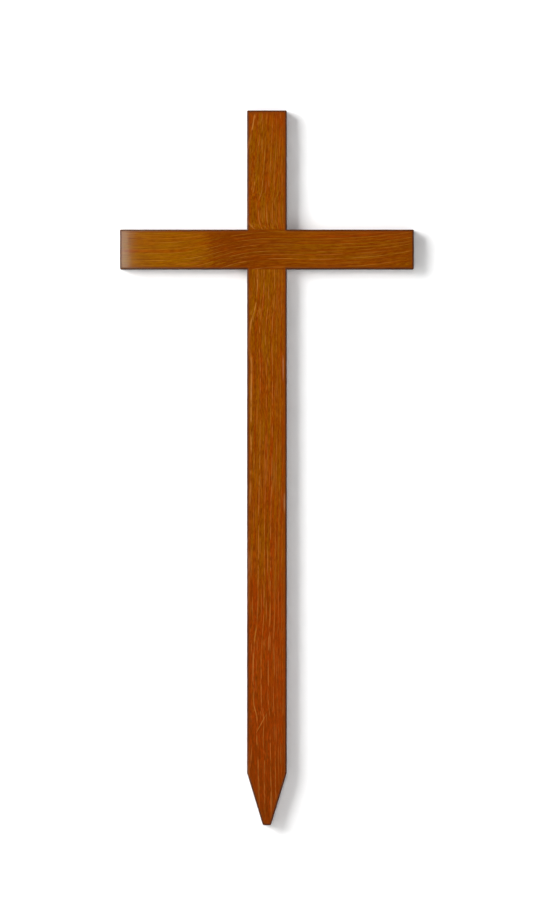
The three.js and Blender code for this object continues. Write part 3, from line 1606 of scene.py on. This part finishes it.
@dataclass
class Studio:
    """A white wall close behind the cross, a pale floor, soft boxes and the camera."""

    outline: CrossOutline
    picture_width: int = 534
    picture_height: int = 908
    tip_row: float = 825.35
    middle_column: float = 266.9
    cross_rows: float = 715.0
    camera_distance: float = 8.0
    film_size: float = 36.0
    wall_gap: float = 1.0 * MM
    wall_width: float = 2.6
    wall_height: float = 2.2
    floor_size: float = 9.0
    floor_drop: float = 19.0 * MM
    wall_glow: float = 0.085
    wall_fade: tuple[float, float] = (1.0, 1.6)
    floor_glow: float = 0.62
    floor_fade: tuple[float, float] = (0.7, 2.0)
    fill: float = 0.07
    paint_white: float = 0.96
    seen_white: float = 1.1

    @property
    def row_size(self) -> float:
        """The length that one row of the picture covers at the cross."""
        return self.outline.height / self.cross_rows

    def build(self) -> None:
        """Builds the whole studio."""
        self.build_world()
        self.build_floor()
        self.build_wall()
        for box in self.soft_boxes():
            box.build()
        self.build_camera()
        bpy.context.scene.view_settings.view_transform = "Standard"
        LOG.info("studio: built")

    def white(
        self, name: str, glow: float, fade: tuple[float, float], one_sided: bool
    ) -> bpy.types.Material:
        """Makes a matt white that glows a little, so that it reads as paper white.

        Args:
            name: The material's name.
            glow: How much light it adds near the cross.
            fade: How far from the cross it starts and ends to fade into plain white.
            one_sided: Whether it is clear from behind.

        Returns:
            The material.
        """
        material = bpy.data.materials.new(name)
        material.use_nodes = True
        sheet = NodeSheet(material.node_tree)
        paint = sheet.node("ShaderNodeBsdfDiffuse")
        paint.inputs["Color"].default_value = (*(self.paint_white,) * 3, 1)
        light = sheet.node("ShaderNodeEmission")
        seen = sheet.node("ShaderNodeLightPath").outputs["Is Camera Ray"]
        away = sheet.node("ShaderNodeVectorMath", operation="LENGTH")
        sheet.feed(away.inputs[0], sheet.node("ShaderNodeTexCoord").outputs["Object"])
        spread = sheet.ease(away.outputs["Value"], *fade, glow, 1.0)
        sheet.feed(light.inputs["Strength"], sheet.math("MULTIPLY", seen, spread))
        both = sheet.node("ShaderNodeAddShader")
        sheet.feed(both.inputs[0], paint.outputs[0])
        sheet.feed(both.inputs[1], light.outputs[0])
        output = sheet.node("ShaderNodeOutputMaterial")
        if not one_sided:
            sheet.feed(output.inputs["Surface"], both.outputs[0])
            return material
        clear = sheet.node("ShaderNodeBsdfTransparent")
        mix = sheet.node("ShaderNodeMixShader")
        sheet.feed(mix.inputs[0], sheet.node("ShaderNodeNewGeometry").outputs["Backfacing"])
        sheet.feed(mix.inputs[1], both.outputs[0])
        sheet.feed(mix.inputs[2], clear.outputs[0])
        sheet.feed(output.inputs["Surface"], mix.outputs[0])
        return material

    def sheet_object(
        self, name: str, corners: list[tuple[float, float, float]], paint: bpy.types.Material
    ) -> bpy.types.Object:
        """Makes a flat sheet of the stage.

        Args:
            name: Its name.
            corners: Its four corners, anticlockwise from the side that is painted.
            paint: Its material.

        Returns:
            The sheet.
        """
        mesh = bpy.data.meshes.new(name)
        mesh.from_pydata(corners, [], [(0, 1, 2, 3)])
        mesh.materials.append(paint)
        made = bpy.data.objects.new(name, mesh)
        bpy.context.scene.collection.objects.link(made)
        return made

    def build_floor(self) -> None:
        """Lays the pale floor a little under the tip, for the cross hangs on the wall."""
        half, level = self.floor_size / 2, -self.floor_drop
        corners = [(x * half, y * half, level) for x, y in ((-1, -1), (1, -1), (1, 1), (-1, 1))]
        paint = self.white("pale floor", self.floor_glow, self.floor_fade, one_sided=False)
        floor = self.sheet_object("studio_floor", corners, paint)
        floor.visible_glossy = False

    def build_wall(self) -> None:
        """Puts the white wall behind the cross. It shows only from the front and shades nothing."""
        half = self.wall_width / 2
        back = self.outline.half_thickness + self.wall_gap
        low, high = -self.floor_drop, self.wall_height
        corners = [(-half, back, low), (half, back, low), (half, back, high), (-half, back, high)]
        paint = self.white("white wall", self.wall_glow, self.wall_fade, one_sided=True)
        wall = self.sheet_object("studio_wall", corners, paint)
        wall.visible_diffuse = False
        wall.visible_glossy = False
        wall.visible_transmission = False
        wall.visible_shadow = False

    def soft_boxes(self) -> list[SoftBox]:
        """Gives the studio's lights.

        Returns:
            The lights for the wood, and those that only the varnish mirrors.
        """
        lights, mirrored = LightUse.LIGHTS, LightUse.MIRRORED
        gloss_place, gloss_target = (-0.484, -0.41, 0.775), (-0.484, 0, 0.775)
        gloss_tint = (0.72, 1.0, 0.9)
        return [
            SoftBox("key", lights, (-4.75, -3.9, 2.8), (0, 0, 0.5), 3.8, 3.8, 12.5),
            SoftBox("fill", lights, (0, -5.0, 1.8), (0, 0, 0.5), 0.8, 0.8, 17.0),
            SoftBox("side", lights, (4.0, 0.9, 1.6), (0, 0, 0.45), 1.2, 1.2, 7.2),
            SoftBox("back key", lights, (-1.6, 1.8, 1.9), (0, 0, 0.4), 1.4, 1.4, 5.9),
            SoftBox("back fill", lights, (0.6, 5.0, 0.6), (0, 0, 0.5), 0.8, 0.8, 19.0),
            SoftBox("end gloss", mirrored, gloss_place, gloss_target, 0.6, 0.3, 4.5, gloss_tint),
        ]

    def build_world(self) -> None:
        """Makes an even fill that the camera sees as white and the varnish as dark."""
        world = bpy.data.worlds.new("studio")
        bpy.context.scene.world = world
        world.use_nodes = True
        sheet = NodeSheet(world.node_tree)
        ways = sheet.node("ShaderNodeLightPath").outputs
        seen = sheet.math("MAXIMUM", ways["Is Camera Ray"], ways["Is Transmission Ray"])
        dim = sheet.math("MULTIPLY_ADD", ways["Is Glossy Ray"], -self.fill, self.fill)
        strength = sheet.math("ADD", dim, sheet.math("MULTIPLY", seen, self.seen_white - self.fill))
        light = sheet.node("ShaderNodeBackground")
        sheet.feed(light.inputs["Strength"], strength)
        light.inputs["Color"].default_value = (1, 1, 1, 1)
        output = sheet.node("ShaderNodeOutputWorld")
        sheet.feed(output.inputs["Surface"], light.outputs[0])
        world.cycles.sampling_method = "NONE"

    def build_camera(self) -> None:
        """Sets the camera square to the cross, framed as the photograph is."""
        camera = bpy.data.cameras.new("camera")
        camera.sensor_fit = "AUTO"
        camera.sensor_width = self.film_size
        frame_height = self.row_size * self.picture_height
        reach = self.camera_distance - self.outline.half_thickness
        camera.lens = self.film_size * reach / frame_height
        view = bpy.data.objects.new("camera", camera)
        bpy.context.scene.collection.objects.link(view)
        sideways = (self.picture_width / 2 - self.middle_column) * self.row_size
        height = (self.tip_row - self.picture_height / 2) * self.row_size
        view.location = (sideways, -self.camera_distance, height)
        view.rotation_euler = (math.pi / 2, 0, 0)
        bpy.context.scene.camera = view


def read_outline() -> CrossOutline:
    """Reads the cross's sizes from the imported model.

    Returns:
        The outline.
    """
    _, post_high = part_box("post")
    bar_low, bar_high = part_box("crossbar")
    return CrossOutline(
        height=post_high.z,
        half_post=post_high.x,
        half_length=bar_high.x,
        bar_bottom=bar_low.z,
        bar_top=bar_high.z,
        half_thickness=(post_high.y - bar_low.y) / 2,
    )


def main() -> None:
    """Builds the cross and its studio."""
    logging.basicConfig(level=logging.INFO, format="%(name)s: %(message)s")
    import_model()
    outline = read_outline()
    effects = EffectLibrary.build()
    post = Post(
        name="stained_post",
        node="post",
        slot="post_wood",
        outline=outline,
        layout=MapLayout(strips=3),
        seed=11,
    )
    crossbar = Crossbar(
        name="stained_crossbar",
        node="crossbar",
        slot="crossbar_wood",
        outline=outline,
        layout=MapLayout(strips=2),
        seed=29,
    )
    post.build(WoodMaterial(POST_FINISH, effects, post.axis).build())
    bar_middle = (outline.bar_bottom + outline.bar_top) / 2
    crossbar.build(WoodMaterial(CROSSBAR_FINISH, effects, crossbar.axis, bar_middle).build())
    Studio(outline).build()


if __name__ == "__main__":
    main()
